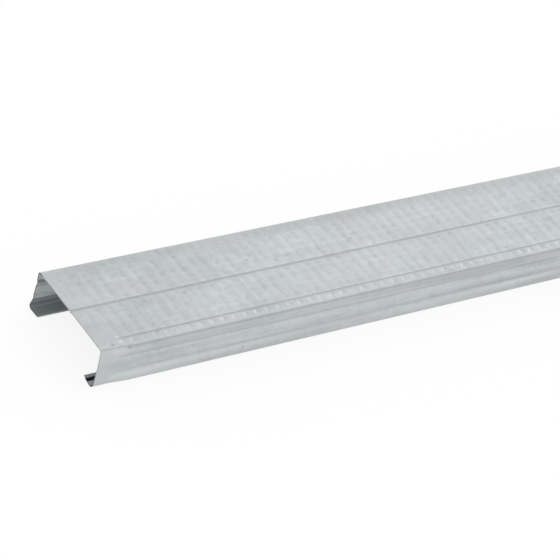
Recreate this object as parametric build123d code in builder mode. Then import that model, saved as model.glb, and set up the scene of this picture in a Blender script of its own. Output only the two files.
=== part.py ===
from build123d import *
import os

# Ceiling furring channel: one strip of galvanised steel rolled to a shallow hat section.
# It lies as it would on a floor: web on top, both lips down, length along X.
# The origin is at the middle of the length and width, on the underside of the lips.

# Overall sizes, in millimetres
length = 2400.0
web_width = 49.4  # between the two outer corners of the web
depth = 19.0
sheet = 0.5

# The web has a groove down its middle, and a lower strip along each edge
centre_groove_width = 1.4
centre_groove_depth = 0.45
edge_strip_width = 5.45  # from a corner of the web to the middle of the step beside it
edge_strip_drop = 0.3
step_width = 0.7

# Legs: a drop is taken down from the web, a rise up from the lips' underside,
# and out or in means away from the web's corner or under it
shoulder_out = 0.3
shoulder_drop = 1.7
shoulder_height = 2.6
shoulder_lean = 0.2  # how far the shoulder comes in over its height
flank_in = 0.2
rib_width = 3.0  # each leg has two ribs pressed inwards from its flat flank
upper_rib_drop = 5.9
upper_rib_depth = 0.4
lower_rib_rise = 5.6
lower_rib_depth = 0.35
foot_out = 0.95

# Lips turned inwards at the foot of the legs
lip_width = 7.6
lip_edge_width = 1.2  # the free edge is turned up a little
lip_edge_rise = 0.5

# Radii on the inside of the bends
web_corner_bend = 0.6
groove_bend = 0.25
groove_edge_bend = 0.2
step_bend = 0.2
shoulder_bend = 0.7
rib_bend = 0.5
flank_bend = 0.5
foot_bend = 1.0
lip_edge_bend = 0.5


def half_section():
    """Corners of the outer face from a lip's edge up to the centre groove, as (y, z, radius).

    Where the outer face is on the outside of a bend, the sheet is added to the bend's radius.
    """
    corner = web_width / 2
    foot = corner + foot_out
    lip_end = foot - lip_width
    flank = corner - flank_in
    shoulder = corner + shoulder_out
    shoulder_top = depth - shoulder_drop
    upper_rib = depth - upper_rib_drop
    edge_strip = depth - edge_strip_drop
    step = corner - edge_strip_width
    return [
        (lip_end, lip_edge_rise, None),
        (lip_end + lip_edge_width, 0, lip_edge_bend + sheet),
        (foot, 0, foot_bend + sheet),
        (flank - lower_rib_depth, lower_rib_rise, rib_bend),
        (flank, lower_rib_rise + rib_width / 2, flank_bend + sheet),
        (flank, upper_rib - rib_width / 2, flank_bend + sheet),
        (flank - upper_rib_depth, upper_rib, rib_bend),
        (shoulder - shoulder_lean, shoulder_top - shoulder_height, shoulder_bend + sheet),
        (shoulder, shoulder_top, shoulder_bend + sheet),
        (corner, edge_strip, web_corner_bend + sheet),
        (step + step_width / 2, edge_strip, step_bend),
        (step - step_width / 2, depth, step_bend + sheet),
        (centre_groove_width / 2, depth, groove_edge_bend + sheet),
    ]


right_half = half_section()
centre_groove = [(0, depth - centre_groove_depth, groove_bend)]
left_half = [(-y, z, radius) for y, z, radius in reversed(right_half)]
bends = right_half + centre_groove + left_half
corners = [(y, z) for y, z, radius in bends]
radii = [radius for y, z, radius in bends[1:-1]]

with BuildPart() as furring_channel:
    with BuildSketch(Plane.YZ.offset(-length / 2)):
        with BuildLine():
            FilletPolyline(*corners, radius=radii)
            offset(amount=sheet, side=Side.LEFT, closed=True)
        make_face()
    extrude(amount=length)

furring_channel.part.label = "furring_channel"

os.makedirs("parts", exist_ok=True)
export_step(furring_channel.part, "parts/furring_channel.step")
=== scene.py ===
import math
import random

import bpy
from mathutils import Matrix, Vector


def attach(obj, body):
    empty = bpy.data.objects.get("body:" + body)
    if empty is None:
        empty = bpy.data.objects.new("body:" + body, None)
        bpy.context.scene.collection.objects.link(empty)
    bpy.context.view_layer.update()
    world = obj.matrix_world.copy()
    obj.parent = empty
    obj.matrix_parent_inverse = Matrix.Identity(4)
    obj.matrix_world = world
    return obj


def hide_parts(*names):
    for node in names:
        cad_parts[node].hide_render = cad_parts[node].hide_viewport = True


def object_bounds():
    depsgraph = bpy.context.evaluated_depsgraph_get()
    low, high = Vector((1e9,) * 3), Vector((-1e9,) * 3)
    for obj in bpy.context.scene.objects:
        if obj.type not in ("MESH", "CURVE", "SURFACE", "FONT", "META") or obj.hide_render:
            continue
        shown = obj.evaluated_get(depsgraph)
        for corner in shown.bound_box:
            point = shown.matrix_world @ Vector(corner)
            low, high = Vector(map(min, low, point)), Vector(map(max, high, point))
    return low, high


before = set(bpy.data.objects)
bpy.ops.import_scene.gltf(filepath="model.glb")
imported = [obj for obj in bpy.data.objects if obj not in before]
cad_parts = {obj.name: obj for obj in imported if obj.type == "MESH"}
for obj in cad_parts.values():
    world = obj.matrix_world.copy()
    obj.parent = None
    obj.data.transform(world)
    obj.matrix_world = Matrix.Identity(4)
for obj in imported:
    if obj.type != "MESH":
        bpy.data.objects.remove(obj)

bl_info = {
    "name": "Furring channel",
    "version": (1, 0, 0),
    "blender": (4, 5, 0),
    "location": "View3D > Sidebar > Channel",
    "description": "Builds a knurled furring channel in galvanised steel, with its floor, light and camera",
    "category": "Add Mesh",
}

MM = 0.001
NODE = "furring_channel"
BODY = "root"

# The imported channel's own box gives the depth, the cut end and the floor.
CAD_LOW, CAD_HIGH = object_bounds()
DEPTH = CAD_HIGH.z - CAD_LOW.z
FLOOR = CAD_LOW.z

# Where the sweep has cross-sections close together: at the cut end, where the near ribs die out.
END_STATIONS_MM = (0, 1, 2, 3, 4, 5, 6, 7, 8, 9, 10, 11, 12, 13, 14, 16, 18, 21, 25)
STATION_GAP = 150 * MM
BEND_STEP = math.radians(10)
SHARP_EDGE = math.radians(40)
LEVEL = 0.01 * MM  # heights closer than this count as the same

# A pit of the knurl from rim to rim, as (quarters of its size along, share of the depth).
PIT_PROFILE = ((-2, 0.0), (-1, 0.45), (0, 1.0), (1, 0.45), (2, 0.0))
KNURL_MARGIN = 0.08 * MM
KNURL_SEED = 19

# The dents, as (from the cut end, in from the near corner). They are twice as long as wide.
DENTS = ((6.7 * MM, 1.9 * MM), (13.5 * MM, 3.9 * MM))
DENTED_BELOW_WEB = 3 * MM  # the dents reach down from the web no further than this

# The shear cut the web short by this share of what it took off the near leg at mid-height.
WEB_CUT_SHORT = 0.4
LEG_BENDS = 2 * MM  # a leg's bends begin this far in from the web's corner
LIP_TOP = 2 * MM  # lower than this there are only the lips and the feet

# Painted shade and highlight, from -1 darker to 1 lighter: in bands on the legs as (height, shade), and a
# painted highlight in the groove.
PAINTED_LEG_SHADES = (
    (0.0 * MM, -0.2),
    (2.4 * MM, -0.2),
    (4.2 * MM, 0.4),
    (5.2 * MM, 0.2),
    (6.5 * MM, -0.35),
    (8.5 * MM, 0.03),
    (12.2 * MM, 0.0),
    (13.2 * MM, -0.13),
    (15.4 * MM, -0.23),
    (18.0 * MM, -0.5),
    (18.8 * MM, -0.25),
)
GROOVE_HIGHLIGHT = 0.3

# Small darker and lighter spots painted beside the near corner at the cut, as (place from the cut end,
# half-length, half-width, shade).
CUT_SPOTS = (
    ((6.5 * MM, -22.0 * MM, 18.7 * MM), 1.3 * MM, 0.8 * MM, -1.0),
    ((12.9 * MM, -24.7 * MM, 18.2 * MM), 1.6 * MM, 0.7 * MM, -1.0),
    ((10.7 * MM, -18.2 * MM, 19.0 * MM), 0.9 * MM, 0.8 * MM, 0.7),
    ((11.4 * MM, -20.8 * MM, 18.7 * MM), 0.7 * MM, 1.2 * MM, 0.6),
)

# Where the finish and the painted shade change, as (not yet, fully): along from the cut end, across from the
# middle, or up.
PRESSED_ALONG = (26 * MM, 8 * MM)
WARM_ALONG = (9 * MM, 4 * MM)
NEAR_LEG_ACROSS = (-22.5 * MM, -24.0 * MM)
LEGS_ACROSS = (23.4 * MM, 24.3 * MM)
FAR_STRIP_SHADE_ACROSS = (20.3 * MM, 21.0 * MM)
CUT_SHADE_ACROSS = (21 * MM, 23 * MM)
CUT_SHADE_UP = (7 * MM, 3 * MM)
LIP_SHADE_UP = (3 * MM, LIP_TOP)
WEB_UP = (CAD_HIGH.z - 1.2 * MM, CAD_HIGH.z - 0.8 * MM)
FAR_STRIP_SHADE_RAGGED = 4 * MM  # how far the edge of the far strip's painted shade may stray

# Noise in the steel, as (scale along, scale across, detail, value that becomes 0, value that becomes 1).
PATCHES = (30.0, 55.0, 4.0, 0.32, 0.68)
STREAKS = (14.0, 330.0, 4.0, 0.3, 0.7)
FINE_GRAIN = (420.0, 620.0, 1.0, 0.3, 0.7)
DRAG_MARKS = (520.0, 90.0, 1.0, 0.56, 0.7)
RAGGED_EDGE = (160.0, 160.0, 3.0, 0.0, 1.0)
WARM_CLOUDS = (22.0, 40.0, 2.0, 0.4, 0.66)
SPECKS = (260.0, 330.0, 1.0, 0.7, 0.8)
RIPPLES = (120.0, 220.0, 3.0, 0.3, 0.7)
ROLLING_LINES = (6.0, 900.0, 3.0, 0.3, 0.7)
SHEARED_GRAIN = (900.0, 900.0, 2.0, 0.3, 0.7)

# The sheet's faint relief: its height, and how much of it the rolling lines and the drag marks make.
RELIEF_HEIGHT = 0.05 * MM
LINES_RELIEF = 0.15
MARKS_RELIEF = -0.6

# The light round the channel is even up to this height, as the sine of its angle, and darker overhead.
HORIZON_TOP = 0.25


def size_property(name, millimetres, description, low=0.0):
    """A length, given in millimetres and kept in metres."""
    return bpy.props.FloatProperty(
        name=name,
        description=description,
        default=millimetres * MM,
        min=low,
        subtype="DISTANCE",
        unit="LENGTH",
        precision=5,
    )


def angle_property(name, degrees, description):
    return bpy.props.FloatProperty(
        name=name,
        description=description,
        default=math.radians(degrees),
        subtype="ANGLE",
        unit="ROTATION",
    )


def number_property(name, value, description):
    return bpy.props.FloatProperty(name=name, description=description, default=value, min=0.0)


def share_property(name, value, description):
    return bpy.props.FloatProperty(
        name=name, description=description, default=value, min=0.0, max=1.0, subtype="FACTOR"
    )


def colour_property(name, value, description):
    return bpy.props.FloatVectorProperty(
        name=name, description=description, default=value, min=0.0, max=1.0, size=3, subtype="COLOR"
    )


class ChannelSection(bpy.types.PropertyGroup):
    """Sizes of the rolled section, the same as in the part's source."""

    web_width: size_property("Web width", 49.4, "Between the two outer corners of the web")
    sheet: size_property("Sheet", 0.5, "Thickness of the strip")
    centre_groove_width: size_property(
        "Centre groove width", 1.4, "Width of the groove down the middle of the web"
    )
    centre_groove_depth: size_property(
        "Centre groove depth", 0.45, "Depth of the groove down the middle of the web"
    )
    edge_strip_width: size_property(
        "Edge strip width", 5.45, "From a corner of the web to the middle of the step beside it"
    )
    edge_strip_drop: size_property(
        "Edge strip drop", 0.3, "How far the strips along the web's edges lie below its middle"
    )
    step_width: size_property("Step width", 0.7, "Width of the step down to an edge strip")
    shoulder_out: size_property("Shoulder out", 0.3, "How far the shoulder stands out from the web's corner")
    shoulder_drop: size_property("Shoulder drop", 1.7, "From the web down to the shoulder")
    shoulder_height: size_property("Shoulder height", 2.6, "Height of the shoulder")
    shoulder_lean: size_property("Shoulder lean", 0.2, "How far the shoulder comes in over its height")
    flank_in: size_property("Flank in", 0.2, "How far the leg's flat flank lies in from the web's corner")
    rib_width: size_property("Rib width", 3.0, "Width of the ribs pressed into the legs")
    upper_rib_drop: size_property("Upper rib drop", 5.9, "From the web down to the upper rib")
    upper_rib_depth: size_property("Upper rib depth", 0.4, "How deep the upper rib is pressed in")
    lower_rib_rise: size_property("Lower rib rise", 5.6, "From the lips' underside up to the lower rib")
    lower_rib_depth: size_property("Lower rib depth", 0.35, "How deep the lower rib is pressed in")
    foot_out: size_property("Foot out", 0.95, "How far the foot stands out from the web's corner")
    lip_width: size_property("Lip width", 7.6, "From the foot's corner to the lip's free edge")
    lip_edge_width: size_property("Lip edge width", 1.2, "Width of the lip's turned-up edge")
    lip_edge_rise: size_property("Lip edge rise", 0.5, "How far the lip's free edge is turned up")
    web_corner_bend: size_property("Web corner bend", 0.6, "Radius on the inside of the bend")
    groove_bend: size_property("Groove bend", 0.25, "Radius at the bottom of the grooves")
    groove_edge_bend: size_property("Groove edge bend", 0.2, "Radius on the inside of the bend")
    step_bend: size_property("Step bend", 0.2, "Radius on the inside of the bend")
    shoulder_bend: size_property("Shoulder bend", 0.7, "Radius on the inside of the bend")
    rib_bend: size_property("Rib bend", 0.5, "Radius at the bottom of the ribs")
    flank_bend: size_property("Flank bend", 0.5, "Radius on the inside of the bend")
    foot_bend: size_property("Foot bend", 1.0, "Radius on the inside of the bend")
    lip_edge_bend: size_property("Lip edge bend", 0.5, "Radius on the inside of the bend")


class ChannelKnurl(bpy.types.PropertyGroup):
    """The small pits rolled into the web, which keep a screw's point from skating."""

    pitch_along: size_property(
        "Pitch along", 5.386, "From one cross row of pits to the next, along the channel"
    )
    pitch_across: size_property("Pitch across", 3.837, "From pit to pit across the web")
    first_row: size_property("First row", 2.42, "From the centre groove to the nearest row on the near side")
    edge_row: size_property("Edge row", 21.1, "From the middle to the row on the strip beside the corner")
    start: size_property("Start", 5.25, "From the cut end to the first cross row")
    pit_along: size_property("Pit along", 0.9, "A quarter of a pit's size along the channel")
    pit_lean: number_property("Pit lean", 0.35, "How far a pit leans along the channel for its size across")
    pit_depth: size_property("Pit depth", 0.5, "Depth of a pit")
    pit_ends: share_property(
        "Pit ends", 0.15, "Share of the depth that is left where one pit runs into the next across the web"
    )
    near_half: share_property(
        "Near half", 0.7, "Depth of the near half's pits, apart from its first row, as a share of the others"
    )
    edge_pit_depth: size_property("Edge pit depth", 0.42, "Depth of a pit on the strips by the corners")
    edge_fade: size_property("Edge fade", 0.9, "Width beside a strip's edge over which the pits run out")
    slip: size_property("Slip", 0.15, "How far a pit may lie from its place along the channel")
    unevenness: share_property("Unevenness", 0.5, "How much the pits differ from one another")
    fade_length: size_property(
        "Fade length", 12, "Length at the cut end over which the knurl was pressed flat"
    )
    skew: number_property("Skew", 0.0184, "How far the cross rows lean along the channel")


class ChannelWear(bpy.types.PropertyGroup):
    """What rolling, cutting and handling did to the sheet, and the painted shade and highlights on it."""

    fade_start: size_property("Fade start", 6, "Length at the cut end that keeps the shear's shape")
    fade_length: size_property("Fade length", 12, "Length after that over which the rolled shape comes back")
    near_leg_flatness: share_property(
        "Near leg flatness", 0.955, "How much of the near leg's ribs is lost at the cut"
    )
    near_corner: size_property(
        "Near corner", 24.0, "From the middle to the near corner of the web at the cut"
    )
    near_foot: size_property("Near foot", 25.19, "From the middle to the near foot at the cut")
    corner_sag: size_property("Corner sag", 0.1, "How far the near corner lies below the web at the cut")
    step_sag: size_property("Step sag", 0.02, "How far the step by that corner lies below the web at the cut")
    lip_cup: size_property("Lip cup", 0.8, "How far the near lip's free edge is bent up at the cut")
    foot_slack: size_property("Foot slack", 0.7, "How much rounder the near foot is at the cut")
    out_of_square: size_property(
        "Out of square", 0.43, "How much shorter than its foot the near leg is cut at mid-height"
    )
    # a dark band of painted shade inside the near lip: its place, width and length
    lip_shade_place: size_property("Grime place", 20.3, "From the middle to the band of dirt on the near lip")
    lip_shade_width: size_property("Grime width", 1.7, "Width of that band")
    lip_shade_length: size_property("Grime length", 20, "Length of that dirt from the cut end")
    # how strongly the painted bands of shade and highlight on the legs show
    painted_band_strength: share_property(
        "Roller marks", 1.0, "How strongly the rollers dulled or brightened the zinc of the bends"
    )
    # a painted highlight along the near corner at the cut, and half its width
    corner_highlight: share_property("Corner rubbed", 0.35, "How bright the near corner was rubbed at the cut")
    corner_highlight_width: size_property("Corner rubbed width", 0.6, "Half the width of that rubbed line")
    # how strongly the inside of the near lip is painted with a highlight
    lip_highlight: share_property("Lip rubbed", 0.8, "How bright the inside of the near lip was rubbed")
    # a painted highlight on one wall of the near strip's pits, and painted shade on the other
    pit_wall_highlight: share_property("Pits rubbed", 1.0, "How bright one wall of the near strip's pits was rubbed")
    dent_depth: size_property("Dent depth", 0.3, "Depth of the small dents beside the near corner")
    dent_radius: size_property("Dent radius", 1.6, "Radius of the small dents")


class ChannelFinish(bpy.types.PropertyGroup):
    """Colours and gloss of the zinc and of the cut edge, with the colours of the painted shade and
    highlights.
    """

    zinc_light: colour_property(
        "Zinc, light", (0.70, 0.737, 0.742), "Colour of the zinc where it is lightest"
    )
    zinc_dark: colour_property("Zinc, dark", (0.485, 0.515, 0.524), "Colour of the zinc where it is darkest")
    zinc_warm: colour_property("Zinc, warm", (0.60, 0.612, 0.617), "Colour of the zinc's more neutral clouds")
    # painted shade colour: the darker side of the painted bands and pits, and the far strip
    zinc_painted_shade: colour_property(
        "Zinc, bent", (0.42, 0.445, 0.455), "Colour of the zinc where it was stretched or scuffed dull"
    )
    # painted highlight colour, also used for the lighter spots by the cut
    zinc_painted_highlight: colour_property(
        "Zinc, rubbed", (0.82, 0.85, 0.85), "Colour of the zinc where it was rubbed bright"
    )
    warmth: share_property("Warm clouds", 0.5, "How much the neutral clouds show")
    warmth_at_cut: number_property(
        "Warm cut", 1.5, "How much more that colour shows on the near leg at the cut"
    )
    # painted light: the web, the channel's top, is painted lighter than the legs
    web_painted_lighter: share_property(
        "Web lighter", 0.07, "How much lighter the zinc is on the web than on the legs"
    )
    # painted shade on the web toward the cut end, and the length over which it fades
    end_painted_shade: share_property("Dull end", 0.16, "How much duller the web's zinc is at the cut end")
    end_painted_shade_length: size_property("Dull length", 110, "Length over which that dullness goes")
    patches: share_property("Patches", 0.26, "How strongly the zinc's patches show")
    grain_contrast: share_property("Grain contrast", 0.2, "How strongly the zinc's grains show")
    fine_contrast: share_property("Fine contrast", 0.16, "How strongly the finest grain shows")
    web_streaks: share_property("Web streaks", 0.15, "How strongly the rolling streaks show on the web")
    leg_streaks: share_property("Leg streaks", 0.8, "How strongly the rolling streaks show on the legs")
    web_marks: share_property("Web marks", 0.14, "How strongly the knurl's marks show in the zinc")
    # how strongly the web's strip beside the far corner is darkened by painted shade
    scuffed: share_property(
        "Scuffed strip", 0.36, "How dull the zinc is on the web's strip beside the far corner"
    )
    grains: number_property("Grains", 260.0, "Zinc grains per metre")
    speck: colour_property("Specks", (0.36, 0.37, 0.375), "Colour of the few small specks")
    speck_share: share_property("Speck strength", 0.5, "How strongly those specks show")
    # colour of the band of painted shade inside the near lip
    lip_shade_colour: colour_property("Grime", (0.02, 0.02, 0.022), "Colour of the dirt on the near lip")
    # the sheared steel in two painted tones: darker as painted shade on the far leg and low down, lighter
    # elsewhere
    cut_edge: colour_property(
        "Cut edge", (0.12, 0.125, 0.135), "Colour of the bare steel where it was sheared"
    )
    cut_edge_lit: colour_property(
        "Smeared edge", (0.42, 0.43, 0.44), "Colour of the sheared edge where zinc covers it"
    )
    relief: share_property("Relief", 0.4, "How strongly the sheet's faint waves show")
    metallic: share_property("Metallic", 0.75, "How metallic the zinc looks")
    roughness: share_property("Roughness", 0.34, "Roughness of the zinc")
    roughness_spread: share_property(
        "Roughness spread", 0.08, "How much rougher its darkest places are than its middle"
    )
    cut_metallic: share_property("Cut edge metallic", 0.6, "How metallic the sheared edge looks")
    cut_roughness: share_property("Cut edge roughness", 0.5, "Roughness of the sheared edge")


class ChannelStage(bpy.types.PropertyGroup):
    """Floor, light and the photograph's camera."""

    floor_size: size_property("Floor", 120000.0, "Side of the square floor")
    floor_colour: colour_property(
        "Floor colour", (0.8, 0.8, 0.8), "Colour of the floor where it bounces light"
    )
    shadow_share: share_property("Shadow", 0.2, "Share of the floor's white that a shadow can take away")
    mirrored_white: share_property(
        "Mirrored white", 0.97, "Brightness of the open floor in the steel's mirroring"
    )
    mirrored_shadow_share: share_property(
        "Mirrored shadow", 0.7, "Share of that which a shadow can take away"
    )
    open_floor_light: number_property("Open floor light", 0.75, "How brightly the open floor is lit")
    horizon: number_property("Horizon", 0.9, "Strength of the even light round the horizon")
    ceiling: number_property("Ceiling", 0.6, "Strength of the even light overhead")
    back_light: number_property("Back light", 0.2, "Strength of the soft light behind the channel")
    distance: size_property("Camera distance", 1086.1, "From the aim point to the camera")
    azimuth: angle_property("Azimuth", -45.37, "Direction of the camera round the channel")
    elevation: angle_property("Elevation", 36.88, "Height of the camera above the horizon")
    roll: angle_property("Roll", 18.94, "Turn of the camera about its own axis")
    aim_along: size_property("Aim along", 95.84, "From the cut end to the point in the middle of the picture")
    aim_across: size_property("Aim across", -7.53, "From the middle of the web to that point", low=-1.0)
    lens: number_property("Lens", 172.3, "Focal length on a sensor 36 mm wide")


def rolled_corners(s):
    """Half of the outer face from a lip's free edge to the centre groove, as (y, z, radius)."""
    web = CAD_HIGH.z
    corner = s.web_width / 2
    foot = corner + s.foot_out
    lip_end = foot - s.lip_width
    flank = corner - s.flank_in
    shoulder = corner + s.shoulder_out
    shoulder_top = web - s.shoulder_drop
    upper_rib = web - s.upper_rib_drop
    edge_strip = web - s.edge_strip_drop
    step = corner - s.edge_strip_width
    return [
        (lip_end, s.lip_edge_rise, 0),
        (lip_end + s.lip_edge_width, 0, s.lip_edge_bend + s.sheet),
        (foot, 0, s.foot_bend + s.sheet),
        (flank - s.lower_rib_depth, s.lower_rib_rise, s.rib_bend),
        (flank, s.lower_rib_rise + s.rib_width / 2, s.flank_bend + s.sheet),
        (flank, upper_rib - s.rib_width / 2, s.flank_bend + s.sheet),
        (flank - s.upper_rib_depth, upper_rib, s.rib_bend),
        (shoulder - s.shoulder_lean, shoulder_top - s.shoulder_height, s.shoulder_bend + s.sheet),
        (shoulder, shoulder_top, s.shoulder_bend + s.sheet),
        (corner, edge_strip, s.web_corner_bend + s.sheet),
        (step + s.step_width / 2, edge_strip, s.step_bend),
        (step - s.step_width / 2, web, s.step_bend + s.sheet),
        (s.centre_groove_width / 2, web, s.groove_edge_bend + s.sheet),
    ]


def sheared_corners(s, wear):
    """The near half as the shear left it: the leg pressed flat and leaning in, the lip cupped."""
    rolled = rolled_corners(s)
    web = CAD_HIGH.z
    lip_end, lip_bend, foot = rolled[:3]
    corner, step_low, step_high, groove = rolled[9:]
    sheared = [
        (lip_end[0], lip_end[1] + wear.lip_cup, 0),
        (lip_bend[0] + wear.lip_cup / 2, wear.lip_cup / 2, lip_bend[2]),
        (wear.near_foot, 0, foot[2] + wear.foot_slack),
    ]
    for y, z, radius in rolled[3:9]:
        straight = wear.near_foot + (wear.near_corner - wear.near_foot) * z / web
        sheared.append((straight + (y - foot[0]) * (1 - wear.near_leg_flatness), z, radius))
    sheared += [
        (wear.near_corner, web - wear.corner_sag, corner[2]),
        (step_low[0], web - wear.step_sag, step_low[2]),
        step_high,
        groove,
    ]
    return sheared


def whole_section(s, near_half):
    """Corners of the outer face from the near lip, over the web, to the far lip."""
    groove = [(0.0, CAD_HIGH.z - s.centre_groove_depth, s.groove_bend)]
    near = [(-y, z, radius) for y, z, radius in near_half]
    return near + groove + rolled_corners(s)[::-1]


def round_bends(corners, counts=None):
    """Replaces each corner by an arc. Gives (point, outward normal) pairs and how many steps each arc has."""
    path = []
    steps_used = []
    last = len(corners) - 1
    for i, (y, z, radius) in enumerate(corners):
        here = Vector((y, z))
        before = (here - Vector(corners[i - 1][:2])).normalized() if i > 0 else None
        after = (Vector(corners[i + 1][:2]) - here).normalized() if i < last else None
        if before is None or after is None:
            along = after if before is None else before
            path.append((here, Vector((-along.y, along.x))))
            steps_used.append(0)
            continue
        turn = before.angle_signed(after)  # clockwise is positive
        reach = radius * math.tan(abs(turn) / 2)
        start = here - before * reach
        start_normal = Vector((-before.y, before.x))
        side = 1 if turn > 0 else -1
        centre = start - start_normal * radius * side
        steps = counts[i] if counts else max(1, math.ceil(abs(turn) / BEND_STEP))
        steps_used.append(steps)
        for k in range(steps + 1):
            swing = Matrix.Rotation(-turn * k / steps, 2)
            normal = swing @ start_normal
            path.append((centre + normal * radius * side, normal))
    return path, steps_used


def smooth_step(t):
    t = min(1.0, max(0.0, t))
    return t * t * (3 - 2 * t)


class ChannelMesh:
    """The sheet's vertices and faces, with how each vertex moves at the cut and its shade.

    A shade is painted onto the zinc: from -1, painted shade, to 1, painted highlight.
    """

    def __init__(self):
        self.points = []
        self.shifts = []
        self.shades = []
        self.faces = []
        self.end_faces = set()

    def point(self, x, y, z, shift, shade=0.0):
        self.points.append((x, y, z))
        self.shifts.append(shift)
        self.shades.append(shade)
        return len(self.points) - 1

    def face(self, *corners):
        self.faces.append(corners)

    def end_face(self, *corners):
        self.end_faces.add(len(self.faces))
        self.faces.append(corners)

    def band(self, low, high):
        """Fills the band between two rows of as many points each."""
        for k in range(len(low) - 1):
            self.face(low[k], low[k + 1], high[k + 1], high[k])

    def zip_chains(self, low, high, axis):
        """Fills the flat strip between two chains of points with triangles, seen from above."""
        i = j = 0
        while i < len(low) - 1 or j < len(high) - 1:
            next_low = self.points[low[i + 1]][axis] if i < len(low) - 1 else math.inf
            next_high = self.points[high[j + 1]][axis] if j < len(high) - 1 else math.inf
            if next_low <= next_high:
                self.face(low[i], low[i + 1], high[j])
                i += 1
            else:
                self.face(low[i], high[j + 1], high[j])
                j += 1


class WebStrip:
    """One flat strip of the web between two edges that are swept along the channel."""

    def __init__(self, mesh, low_edge, high_edge):
        self.mesh = mesh
        self.low_edge = low_edge
        self.high_edge = high_edge
        self.low = mesh.points[low_edge[0]][1]
        self.high = mesh.points[high_edge[0]][1]
        self.level = mesh.points[low_edge[0]][2]

    def point(self, x, y, drop=0.0, shade=0.0):
        """A vertex on the strip, which moves at the cut as the strip's two edges do."""
        share = (y - self.low) / (self.high - self.low)
        a, b = self.mesh.shifts[self.low_edge[0]], self.mesh.shifts[self.high_edge[0]]
        shift = (a[0] + (b[0] - a[0]) * share, a[1] + (b[1] - a[1]) * share)
        return self.mesh.point(x, y, self.level - drop, shift, shade)


def knurl_lines(knurl, strip):
    """The lines that carry the knurl along a strip, as (y, row, lean, share of the depth), low y first."""
    sign = 1 if strip.low > 0 else -1
    inner, outer = sorted((abs(strip.low), abs(strip.high)))
    if outer > knurl.edge_row > inner:
        rows = [knurl.edge_row]
    else:
        start = knurl.first_row if sign < 0 else knurl.pitch_across - knurl.first_row
        count = math.ceil((outer - start) / knurl.pitch_across)
        rows = [start + i * knurl.pitch_across for i in range(count)]
    reach = knurl.pitch_across / 3
    lines = [(strip.low + KNURL_MARGIN, 0, 0.0, 0.0)]
    for row, y in enumerate(sorted(sign * y for y in rows)):
        whole = knurl.near_half if y < -knurl.first_row - reach else 1.0
        for side, share in ((-1, whole * knurl.pit_ends), (0, whole), (1, whole * knurl.pit_ends)):
            place = y + side * reach
            edge = min(place - strip.low, strip.high - place)
            if edge > 3 * KNURL_MARGIN:
                share *= smooth_step(edge / knurl.edge_fade)
                lines.append((place, row, side * reach * knurl.pit_lean, share))
    lines.append((strip.high - KNURL_MARGIN, 0, 0.0, 0.0))
    return lines


def knurl_strip(strip, knurl, wear, chance):
    """Fills one flat strip of the web with the knurl: rows of shallow pits, drawn out across the channel."""
    mesh, low_edge, high_edge = strip.mesh, strip.low_edge, strip.high_edge
    by_corner = strip.low < -knurl.edge_row < strip.high or strip.low < knurl.edge_row < strip.high
    full_depth = knurl.edge_pit_depth if by_corner else knurl.pit_depth
    # on the near strip one wall of each pit gets a painted highlight and the other a little painted shade
    on_near_strip = by_corner and strip.low < 0
    pit_wall_shades = {-1: wear.pit_wall_highlight, 1: -wear.pit_wall_highlight / 3} if on_near_strip else {}
    lines = knurl_lines(knurl, strip)
    first = CAD_LOW.x + knurl.start
    rows = int((mesh.points[low_edge[-1]][0] - first) / knurl.pitch_along)
    last = first + (rows - 1) * knurl.pitch_along
    # a straight cross line before the first row and after the last one, clear of the pits, closes the strip
    widest = max(abs(strip.low), abs(strip.high))
    reach = 2 * knurl.pit_along + knurl.pitch_across / 3 * knurl.pit_lean + knurl.slip + knurl.skew * widest
    reach += 3 * KNURL_MARGIN
    grid = [[strip.point(first - reach, line[0]) for line in lines]]
    for i in range(rows):
        x = first + i * knurl.pitch_along
        fade = full_depth * smooth_step((x - CAD_LOW.x) / knurl.fade_length)
        uneven = [(chance.uniform(-1, 1), chance.uniform(-1, 1)) for row in range(len(lines) // 2)]
        for step, wall in PIT_PROFILE:
            column = []
            for y, row, lean, share in lines:
                depth, slip = uneven[row]
                if share:
                    along = x + step * knurl.pit_along + lean - knurl.skew * y + slip * knurl.slip
                    deep = fade * share * (1 + depth * knurl.unevenness)
                    shade = pit_wall_shades.get(step, 0.0) * deep / full_depth
                    column.append(strip.point(along, y, deep * wall, shade))
                else:
                    column.append(strip.point(x + step * knurl.pit_along, y))
            grid.append(column)
    grid.append([strip.point(last + reach, line[0]) for line in lines])
    for before, after in zip(grid, grid[1:]):
        for j in range(len(lines) - 1):
            mesh.face(before[j], after[j], after[j + 1], before[j + 1])
    mesh.zip_chains(low_edge, [column[0] for column in grid], 0)
    mesh.zip_chains([column[-1] for column in grid], high_edge, 0)
    mesh.zip_chains(grid[0], [low_edge[0], high_edge[0]], 1)
    mesh.zip_chains([low_edge[-1], high_edge[-1]], grid[-1], 1)


def stations_along():
    """Where the sweep has cross-sections: close together at the cut end, far apart on the plain length."""
    stations = [CAD_LOW.x + mm * MM for mm in END_STATIONS_MM]
    gaps = math.ceil((CAD_HIGH.x - stations[-1]) / STATION_GAP)
    step = (CAD_HIGH.x - stations[-1]) / gaps
    return stations + [stations[-1] + step * (k + 1) for k in range(gaps)]


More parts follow.
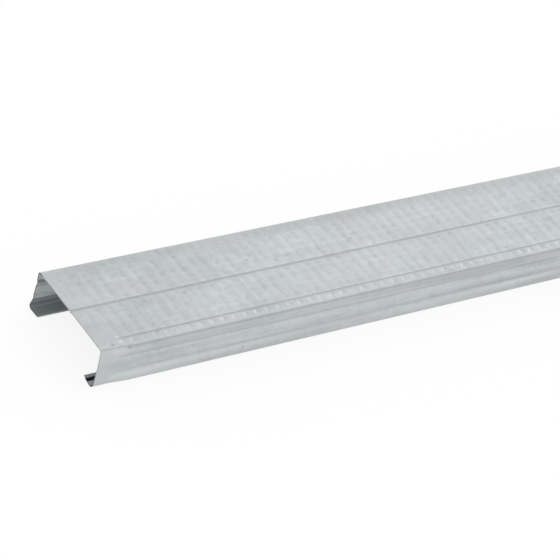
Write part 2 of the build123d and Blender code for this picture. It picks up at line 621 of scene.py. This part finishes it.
def sweep_section(mesh, s, wear, stations):
    """Adds the outer and inner faces' vertices: for each point of the section, a row along the channel."""
    path, counts = round_bends(whole_section(s, rolled_corners(s)))
    cut_path = round_bends(whole_section(s, sheared_corners(s, wear)), counts)[0]
    near_corner = Vector((-wear.near_corner, CAD_HIGH.z - wear.corner_sag))
    outer = []
    inner = []
    for (point, normal), (cut_point, cut_normal) in zip(path, cut_path):
        shift = cut_point - point
        # a painted highlight in the centre groove
        groove = GROOVE_HIGHLIGHT if abs(point.x) < s.centre_groove_width / 3 else 0.0
        pressed = 1.0 if point.x < 0 else 0.0
        # a painted highlight along the near corner, fading out from the cut
        beside = (cut_point - near_corner).length / wear.corner_highlight_width
        corner = wear.corner_highlight * smooth_step(2 - beside)
        row = []
        for x in stations:
            cut = pressed * (1 - smooth_step((x - CAD_LOW.x - wear.fade_start) / wear.fade_length))
            row.append(mesh.point(x, *point, shift, groove + corner * cut))
        outer.append(row)
        under = point - normal * s.sheet
        shift = cut_point - cut_normal * s.sheet - under
        # a painted highlight on the inside of the near lip
        shade = wear.lip_highlight if point.x < 0 and under.y < LIP_TOP else 0.0
        inner.append([mesh.point(x, *under, shift, shade) for x in stations])
    return [point for point, normal in path], outer, inner


def build_channel(scene):
    """The whole channel as one closed sheet, with the knurl's pits in its web."""
    s, knurl, wear = scene.channel_section, scene.channel_knurl, scene.channel_wear
    mesh = ChannelMesh()
    path, outer, inner = sweep_section(mesh, s, wear, stations_along())
    chance = random.Random(KNURL_SEED)
    lowest_strip = CAD_HIGH.z - s.edge_strip_drop - LEVEL
    for i in range(len(path) - 1):
        a, b = path[i], path[i + 1]
        if abs(a.y - b.y) < LEVEL and a.y > lowest_strip and (b - a).length > knurl.pitch_across / 2:
            knurl_strip(WebStrip(mesh, outer[i], outer[i + 1]), knurl, wear, chance)
        else:
            mesh.band(outer[i], outer[i + 1])
        mesh.band(inner[i + 1], inner[i])
        mesh.end_face(outer[i][0], outer[i + 1][0], inner[i + 1][0], inner[i][0])
        mesh.end_face(outer[i + 1][-1], outer[i][-1], inner[i][-1], inner[i + 1][-1])
    mesh.band(inner[0], outer[0])
    mesh.band(outer[-1], inner[-1])

    points = [worn(Vector(point), shift, s, wear) for point, shift in zip(mesh.points, mesh.shifts)]
    data = bpy.data.meshes.new("channel_sheet")
    data.from_pydata(points, [], mesh.faces)
    for index, polygon in enumerate(data.polygons):
        polygon.use_smooth = index not in mesh.end_faces
        polygon.material_index = 1 if index in mesh.end_faces else 0
    data.attributes.new("shade", "FLOAT", "POINT").data.foreach_set("value", mesh.shades)
    data.validate()
    data.update()
    data.set_sharp_from_angle(angle=SHARP_EDGE)
    return data


def cut_short(point, s):
    """How much shorter the shear cut the channel here, from 0 at the feet to 1 halfway up the near leg."""
    corner = s.web_width / 2
    height = (point.z - CAD_LOW.z) / DEPTH
    if point.y > corner - LEG_BENDS:
        return WEB_CUT_SHORT * height
    if point.y < LEG_BENDS - corner:
        # shorter from a tenth of its height up, and less so again from six tenths up
        longer_again = (1 - WEB_CUT_SHORT) * smooth_step((height - 0.6) * 3)
        return smooth_step((height - 0.1) * 3) * (1 - longer_again)
    return WEB_CUT_SHORT


def worn(point, shift, s, wear):
    """Moves a point of the rolled channel to where the shear and handling left it."""
    x = point.x - CAD_LOW.x
    moved = point.copy()
    fade = 1 - smooth_step((x - wear.fade_start) / wear.fade_length)
    moved.y += shift[0] * fade
    moved.z += shift[1] * fade
    moved.x += wear.out_of_square * cut_short(point, s) * max(0.0, 1 - x / (2 * wear.fade_length))
    for dent_x, inward in DENTS:
        away = math.hypot((x - dent_x) / 2, point.y + s.web_width / 2 - inward) / wear.dent_radius
        if point.z > CAD_HIGH.z - DENTED_BELOW_WEB and away < 1:
            moved.z -= wear.dent_depth * (1 - smooth_step(away))
    return Vector(min(max(v, low), high) for v, low, high in zip(moved, CAD_LOW, CAD_HIGH))


def empty_tree(owner):
    """The emptied node tree of a new material or world."""
    owner.use_nodes = True
    owner.node_tree.nodes.clear()
    return owner.node_tree


def shader_nodes(material):
    tree = empty_tree(material)
    output = tree.nodes.new("ShaderNodeOutputMaterial")
    shader = tree.nodes.new("ShaderNodeBsdfPrincipled")
    tree.links.new(shader.outputs["BSDF"], output.inputs["Surface"])
    return tree, shader


def object_place(tree):
    return tree.nodes.new("ShaderNodeTexCoord").outputs["Object"]


def one_axis(tree, place, axis):
    """One coordinate of a place on the channel: X along, Y across or Z up."""
    split = tree.nodes.new("ShaderNodeSeparateXYZ")
    tree.links.new(place, split.inputs["Vector"])
    return split.outputs[axis]


def arithmetic(tree, operation, first, second, third=0.0):
    """A maths node whose inputs are numbers or other nodes' outputs."""
    node = tree.nodes.new("ShaderNodeMath")
    node.operation = operation
    for i, value in enumerate((first, second, third)):
        if isinstance(value, bpy.types.NodeSocket):
            tree.links.new(value, node.inputs[i])
        else:
            node.inputs[i].default_value = value
    return node.outputs[0]


def product(tree, first, second):
    return arithmetic(tree, "MULTIPLY", first, second)


def blend(tree, share, first, second):
    """A colour between two, each given as a colour or as another node's output."""
    mix = tree.nodes.new("ShaderNodeMix")
    mix.data_type = "RGBA"
    for name, value in (("A", first), ("B", second)):
        if isinstance(value, bpy.types.NodeSocket):
            tree.links.new(value, mix.inputs[name])
        else:
            mix.inputs[name].default_value = (*value, 1)
    tree.links.new(share, mix.inputs["Factor"])
    return mix.outputs["Result"]


def ramp(tree, value, start, stop):
    """0 up to the start, 1 from the stop on, and even in between."""
    node = tree.nodes.new("ShaderNodeMapRange")
    node.inputs["From Min"].default_value = start
    node.inputs["From Max"].default_value = stop
    tree.links.new(value, node.inputs["Value"])
    return node.outputs["Result"]


def ramp_from_cut(tree, along, zone):
    return ramp(tree, along, CAD_LOW.x + zone[0], CAD_LOW.x + zone[1])


def noise_share(tree, place, texture):
    """A noise texture drawn out along the channel, stretched so that its usual range runs from 0 to 1."""
    along, across, detail, low, high = texture
    mapping = tree.nodes.new("ShaderNodeMapping")
    mapping.inputs["Scale"].default_value = (along, across, across)
    tree.links.new(place, mapping.inputs["Vector"])
    noise = tree.nodes.new("ShaderNodeTexNoise")
    noise.inputs["Scale"].default_value = 1.0
    noise.inputs["Detail"].default_value = detail
    tree.links.new(mapping.outputs["Vector"], noise.inputs["Vector"])
    return ramp(tree, noise.outputs["Fac"], low, high)


def zinc_tone(tree, on_web, marks, finish):
    """How light the zinc is, from 0 to 1: grains, patches, marks across the web, streaks along the legs, the
    web painted lighter than the legs and painted shade on the web toward the cut end.
    """
    place = object_place(tree)
    grains = tree.nodes.new("ShaderNodeTexVoronoi")
    grains.inputs["Scale"].default_value = finish.grains
    tree.links.new(place, grains.inputs["Vector"])
    grain_tone = tree.nodes.new("ShaderNodeSeparateColor")
    tree.links.new(grains.outputs["Color"], grain_tone.inputs["Color"])
    less_on_web = finish.web_streaks - finish.leg_streaks
    streakiness = arithmetic(tree, "MULTIPLY_ADD", on_web, less_on_web, finish.leg_streaks)
    parts = (
        (grain_tone.outputs["Red"], finish.grain_contrast),
        (noise_share(tree, place, PATCHES), finish.patches),
        (noise_share(tree, place, FINE_GRAIN), finish.fine_contrast),
        (noise_share(tree, place, STREAKS), streakiness),
    )
    middle = 0.5
    tone = product(tree, product(tree, marks, on_web), -finish.web_marks)
    # the web is painted lighter than the legs
    tone = arithmetic(tree, "ADD", tone, arithmetic(tree, "MULTIPLY_ADD", on_web, finish.web_painted_lighter, middle))
    # painted shade on the web, darkest at the cut end
    by_cut = ramp_from_cut(tree, one_axis(tree, place, "X"), (finish.end_painted_shade_length, 0.0))
    web_by_cut = product(tree, on_web, by_cut)
    tone = arithmetic(tree, "MULTIPLY_ADD", web_by_cut, -finish.end_painted_shade, tone)
    for part, strength in parts:
        tone = arithmetic(tree, "MULTIPLY_ADD", arithmetic(tree, "SUBTRACT", part, middle), strength, tone)
    return tone


def painted_leg_shade(tree, up):
    """Painted shade (below 0) and painted highlight (above 0) in bands along the legs, at each height."""
    bands = tree.nodes.new("ShaderNodeValToRGB")
    stops = bands.color_ramp.elements
    for i, (height, shade) in enumerate(PAINTED_LEG_SHADES):
        stop = stops[i] if i < len(stops) else stops.new(height / DEPTH)
        stop.position = height / DEPTH
        grey = 0.5 + shade / 2
        stop.color = (grey, grey, grey, 1)
    tree.links.new(ramp(tree, up, CAD_LOW.z, CAD_HIGH.z), bands.inputs["Fac"])
    return arithmetic(tree, "MULTIPLY_ADD", bands.outputs["Color"], 2.0, -1.0)


def spot(tree, place, centre, half_length, half_width):
    """1 in the middle of a small oval and 0 outside it."""
    mapping = tree.nodes.new("ShaderNodeMapping")
    mapping.vector_type = "TEXTURE"
    mapping.inputs["Location"].default_value = (CAD_LOW.x + centre[0], centre[1], centre[2])
    mapping.inputs["Scale"].default_value = (half_length, half_width, half_width)
    tree.links.new(place, mapping.inputs["Vector"])
    away = tree.nodes.new("ShaderNodeVectorMath")
    away.operation = "LENGTH"
    tree.links.new(mapping.outputs["Vector"], away.inputs[0])
    return ramp(tree, away.outputs["Value"], 1.0, 0.4)


def painted_lip_shade(tree, rubbed, wear):
    """A dark band of painted shade along the inside of the near lip, from the cut end in."""
    place = object_place(tree)
    from_band = arithmetic(tree, "ADD", one_axis(tree, place, "Y"), wear.lip_shade_place)
    from_band = arithmetic(tree, "ABSOLUTE", from_band, 0.0)
    band = ramp(tree, from_band, wear.lip_shade_width * 0.6, wear.lip_shade_width * 0.4)
    length = ramp_from_cut(tree, one_axis(tree, place, "X"), (wear.lip_shade_length, wear.lip_shade_length / 2))
    low_down = ramp(tree, one_axis(tree, place, "Z"), *LIP_SHADE_UP)
    # the lip's painted highlight in the mesh marks the inside of the near lip
    inside = ramp(tree, rubbed, wear.lip_highlight / 2, wear.lip_highlight)
    return product(tree, product(tree, band, length), product(tree, low_down, inside))


def zinc_colour(tree, tone, on_web, finish, wear):
    """The zinc's colour: its tone, painted shade and highlights, a warm tint at the cut, then specks and a
    band of painted shade in the near lip.
    """
    place = object_place(tree)
    along, across, up = (one_axis(tree, place, axis) for axis in "XYZ")
    colour = blend(tree, tone, finish.zinc_dark, finish.zinc_light)

    # the painted bands of shade and highlight on the legs fade out where the shear pressed the near leg flat
    # the mesh's shade attribute holds the painted shade and highlights of the groove, corner, lip and pits
    attribute = tree.nodes.new("ShaderNodeAttribute")
    attribute.attribute_name = "shade"
    rubbed = attribute.outputs["Fac"]
    near_leg = ramp(tree, across, *NEAR_LEG_ACROSS)
    pressed = product(tree, near_leg, ramp_from_cut(tree, along, PRESSED_ALONG))
    bands = arithmetic(tree, "MULTIPLY_ADD", pressed, -wear.painted_band_strength, wear.painted_band_strength)
    legs = ramp(tree, arithmetic(tree, "ABSOLUTE", across, 0.0), *LEGS_ACROSS)
    shade = arithmetic(tree, "MULTIPLY_ADD", painted_leg_shade(tree, up), product(tree, bands, legs), rubbed)
    # painted shade darkens the zinc and painted highlight lightens it
    colour = blend(tree, ramp(tree, shade, 0, -1), colour, finish.zinc_painted_shade)
    colour = blend(tree, ramp(tree, shade, 0, 1), colour, finish.zinc_painted_highlight)

    # painted shade on the web's strip beside the far corner, with a ragged edge
    ragged = arithmetic(tree, "MULTIPLY_ADD", noise_share(tree, place, RAGGED_EDGE), FAR_STRIP_SHADE_RAGGED, across)
    scuffed = product(tree, ramp(tree, ragged, *FAR_STRIP_SHADE_ACROSS), on_web)
    colour = blend(tree, product(tree, scuffed, finish.scuffed), colour, finish.zinc_painted_shade)
    for centre, half_length, half_width, strength in CUT_SPOTS:
        share = product(tree, spot(tree, place, centre, half_length, half_width), abs(strength))
        colour = blend(tree, share, colour, finish.zinc_painted_highlight if strength > 0 else finish.speck)

    warm_cut = product(tree, near_leg, ramp_from_cut(tree, along, WARM_ALONG))
    warm_cut = product(tree, warm_cut, finish.warmth_at_cut)
    warm = arithmetic(tree, "MAXIMUM", noise_share(tree, place, WARM_CLOUDS), warm_cut)
    colour = blend(tree, product(tree, warm, finish.warmth), colour, finish.zinc_warm)
    specks = product(tree, noise_share(tree, place, SPECKS), finish.speck_share)
    colour = blend(tree, specks, colour, finish.speck)
    # a dark band of painted shade inside the near lip
    return blend(tree, painted_lip_shade(tree, rubbed, wear), colour, finish.lip_shade_colour)


def zinc_material(finish, wear):
    """Galvanised sheet: pale cool grey in soft patches, faint grains, lines along the rolling direction."""
    material = bpy.data.materials.new("galvanised_zinc")
    tree, shader = shader_nodes(material)
    shader.inputs["Metallic"].default_value = finish.metallic
    place = object_place(tree)
    on_web = ramp(tree, one_axis(tree, place, "Z"), *WEB_UP)
    # short thin marks across the web, here and there, where the knurl's roller dragged on the zinc
    marks = noise_share(tree, place, DRAG_MARKS)
    tone = zinc_tone(tree, on_web, marks, finish)
    tree.links.new(zinc_colour(tree, tone, on_web, finish, wear), shader.inputs["Base Color"])

    rough = tree.nodes.new("ShaderNodeMapRange")
    rough.inputs["To Min"].default_value = finish.roughness + finish.roughness_spread
    rough.inputs["To Max"].default_value = finish.roughness - finish.roughness_spread
    tree.links.new(tone, rough.inputs["Value"])
    tree.links.new(rough.outputs["Result"], shader.inputs["Roughness"])

    ripples = noise_share(tree, place, RIPPLES)
    relief = arithmetic(tree, "MULTIPLY_ADD", noise_share(tree, place, ROLLING_LINES), LINES_RELIEF, ripples)
    relief = arithmetic(tree, "MULTIPLY_ADD", marks, product(tree, on_web, MARKS_RELIEF), relief)
    bump = tree.nodes.new("ShaderNodeBump")
    bump.inputs["Strength"].default_value = finish.relief
    bump.inputs["Distance"].default_value = RELIEF_HEIGHT
    tree.links.new(relief, bump.inputs["Height"])
    tree.links.new(bump.outputs["Normal"], shader.inputs["Normal"])
    return material


def cut_edge_material(finish):
    """The sheared ends' steel, painted darker as shade on the far leg and low down, and lighter elsewhere."""
    material = bpy.data.materials.new("sheared_edge")
    tree, shader = shader_nodes(material)
    shader.inputs["Metallic"].default_value = finish.cut_metallic
    shader.inputs["Roughness"].default_value = finish.cut_roughness
    place = object_place(tree)
    grain = noise_share(tree, place, SHEARED_GRAIN)
    # the darker tone is painted shade, the lighter one the edge where it is lit
    bare = blend(tree, grain, [c * 0.6 for c in finish.cut_edge], finish.cut_edge)
    smeared = blend(tree, grain, finish.cut_edge_lit, [c * 1.2 for c in finish.cut_edge_lit])
    far_side = ramp(tree, one_axis(tree, place, "Y"), *CUT_SHADE_ACROSS)
    low_down = ramp(tree, one_axis(tree, place, "Z"), *CUT_SHADE_UP)
    cut_edge_shade = arithmetic(tree, "MAXIMUM", far_side, low_down)
    tree.links.new(blend(tree, cut_edge_shade, smeared, bare), shader.inputs["Base Color"])
    return material


class CHANNEL_OT_roll(bpy.types.Operator):
    """Builds the channel's knurled sheet and gives it its zinc"""

    bl_idname = "channel.roll"
    bl_label = "Roll the channel"

    def execute(self, context):
        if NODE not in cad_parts:
            raise RuntimeError("The frame has no node called " + NODE)
        finish = context.scene.channel_finish
        data = build_channel(context.scene)
        if not data.polygons:
            raise RuntimeError("The channel's sizes leave no sheet to build")
        sheet = bpy.data.objects.new("channel_sheet", data)
        context.scene.collection.objects.link(sheet)
        sheet.data.materials.append(zinc_material(finish, context.scene.channel_wear))
        sheet.data.materials.append(cut_edge_material(finish))
        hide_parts(NODE)
        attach(sheet, BODY)
        return {"FINISHED"}


def white_with_shadow(tree, whiteness, share, open_light):
    """A floor that is plainly white where it lies open, and loses up to a share of that in a shadow."""
    lit = tree.nodes.new("ShaderNodeBsdfDiffuse")
    lit.inputs["Color"].default_value = (share, share, share, 1)
    white = tree.nodes.new("ShaderNodeEmission")
    white.inputs["Strength"].default_value = whiteness - share * open_light
    both = tree.nodes.new("ShaderNodeAddShader")
    tree.links.new(lit.outputs[0], both.inputs[0])
    tree.links.new(white.outputs[0], both.inputs[1])
    return both.outputs[0]


def floor_material(stage):
    """White to the camera and in reflections apart from the object's soft shadow, pale grey to the light."""
    material = bpy.data.materials.new("studio_floor")
    tree = empty_tree(material)
    new, link = tree.nodes.new, tree.links.new
    output = new("ShaderNodeOutputMaterial")
    path = new("ShaderNodeLightPath")
    plain = new("ShaderNodeBsdfDiffuse")
    plain.inputs["Color"].default_value = (*stage.floor_colour, 1)
    mirrored = new("ShaderNodeMixShader")
    mirrors = arithmetic(tree, "MAXIMUM", path.outputs["Is Glossy Ray"], path.outputs["Is Transmission Ray"])
    link(mirrors, mirrored.inputs["Fac"])
    link(plain.outputs[0], mirrored.inputs[1])
    pale = white_with_shadow(tree, stage.mirrored_white, stage.mirrored_shadow_share, stage.open_floor_light)
    link(pale, mirrored.inputs[2])
    seen = new("ShaderNodeMixShader")
    link(path.outputs["Is Camera Ray"], seen.inputs["Fac"])
    link(mirrored.outputs[0], seen.inputs[1])
    link(white_with_shadow(tree, 1.0, stage.shadow_share, stage.open_floor_light), seen.inputs[2])
    link(seen.outputs[0], output.inputs["Surface"])
    return material


def studio_world(stage):
    """White all round at eye level and softly darker overhead, alike for the eye and for the steel."""
    world = bpy.data.worlds.new("studio")
    tree = empty_tree(world)
    new, link = tree.nodes.new, tree.links.new
    output = new("ShaderNodeOutputWorld")
    direction = new("ShaderNodeTexCoord")
    split = new("ShaderNodeSeparateXYZ")
    link(direction.outputs["Generated"], split.inputs["Vector"])
    height = new("ShaderNodeMapRange")
    height.interpolation_type = "SMOOTHSTEP"
    height.inputs["From Min"].default_value = HORIZON_TOP
    height.inputs["From Max"].default_value = 1.0
    height.inputs["To Min"].default_value = stage.horizon
    height.inputs["To Max"].default_value = stage.ceiling
    link(split.outputs["Z"], height.inputs["Value"])
    light = new("ShaderNodeBackground")
    light.inputs["Color"].default_value = (1, 1, 1, 1)
    link(height.outputs["Result"], light.inputs["Strength"])
    link(light.outputs[0], output.inputs["Surface"])
    return world


def add_soft_light(scene, name, strength, azimuth, elevation, softness):
    """A wide soft light far away. Azimuth 0 is from -Y and 90 from +X, in degrees like the elevation."""
    lamp = bpy.data.lights.new(name, "SUN")
    lamp.energy = strength
    lamp.angle = math.radians(softness)
    light = bpy.data.objects.new(name, lamp)
    light.rotation_euler = (math.radians(90 - elevation), 0, math.radians(azimuth))
    scene.collection.objects.link(light)


def place_camera(context, stage):
    """The photograph's own viewpoint, rolled as the photograph is."""
    scene = context.scene
    lens = bpy.data.cameras.new("camera")
    lens.lens = stage.lens
    lens.sensor_width = 36.0
    lens.clip_start = 0.01
    lens.clip_end = 200.0
    camera = bpy.data.objects.new("camera", lens)
    scene.collection.objects.link(camera)
    a, e = stage.azimuth, stage.elevation
    back = Vector((math.sin(a) * math.cos(e), -math.cos(a) * math.cos(e), math.sin(e)))
    aim = Vector((CAD_LOW.x + stage.aim_along, stage.aim_across, CAD_HIGH.z))
    turn = back.to_track_quat("Z", "Y").to_matrix().to_4x4()
    turn = turn @ Matrix.Rotation(stage.roll, 4, "Z")
    camera.matrix_world = Matrix.Translation(aim + back * stage.distance) @ turn
    scene.camera = camera


class CHANNEL_OT_stage(bpy.types.Operator):
    """Lays the floor, hangs the lights and sets the camera"""

    bl_idname = "channel.stage"
    bl_label = "Set the stage"

    def execute(self, context):
        scene = context.scene
        stage = scene.channel_stage
        half = stage.floor_size / 2
        data = bpy.data.meshes.new("studio_floor")
        square = [(-half, -half, FLOOR), (half, -half, FLOOR), (half, half, FLOOR), (-half, half, FLOOR)]
        data.from_pydata(square, [], [(0, 1, 2, 3)])
        floor = bpy.data.objects.new("studio_floor", data)
        data.materials.append(floor_material(stage))
        scene.collection.objects.link(floor)
        scene.world = studio_world(stage)
        add_soft_light(scene, "back_light", stage.back_light, azimuth=135, elevation=37, softness=60)
        place_camera(context, stage)
        scene.view_settings.view_transform = "Standard"
        if scene.camera is None or scene.world is None:
            raise RuntimeError("The stage has no camera or no light round it")
        return {"FINISHED"}


class CHANNEL_PT_tools(bpy.types.Panel):
    """Sizes and finishes of the channel, with the buttons that build it"""

    bl_idname = "CHANNEL_PT_tools"
    bl_label = "Furring channel"
    bl_space_type = "VIEW_3D"
    bl_region_type = "UI"
    bl_category = "Channel"

    def draw(self, context):
        layout = self.layout
        for group in GROUPS:
            box = layout.box()
            settings = getattr(context.scene, group)
            for name in settings.__annotations__:
                box.prop(settings, name)
        layout.operator(CHANNEL_OT_roll.bl_idname)
        layout.operator(CHANNEL_OT_stage.bl_idname)


GROUPS = {
    "channel_section": ChannelSection,
    "channel_knurl": ChannelKnurl,
    "channel_wear": ChannelWear,
    "channel_finish": ChannelFinish,
    "channel_stage": ChannelStage,
}
CLASSES = (*GROUPS.values(), CHANNEL_OT_roll, CHANNEL_OT_stage, CHANNEL_PT_tools)


def register():
    for cls in CLASSES:
        bpy.utils.register_class(cls)
    for name, group in GROUPS.items():
        setattr(bpy.types.Scene, name, bpy.props.PointerProperty(type=group))


def unregister():
    for name in GROUPS:
        delattr(bpy.types.Scene, name)
    for cls in reversed(CLASSES):
        bpy.utils.unregister_class(cls)


def main():
    register()
    bpy.ops.channel.roll()
    bpy.ops.channel.stage()


if __name__ == "__main__":
    main()
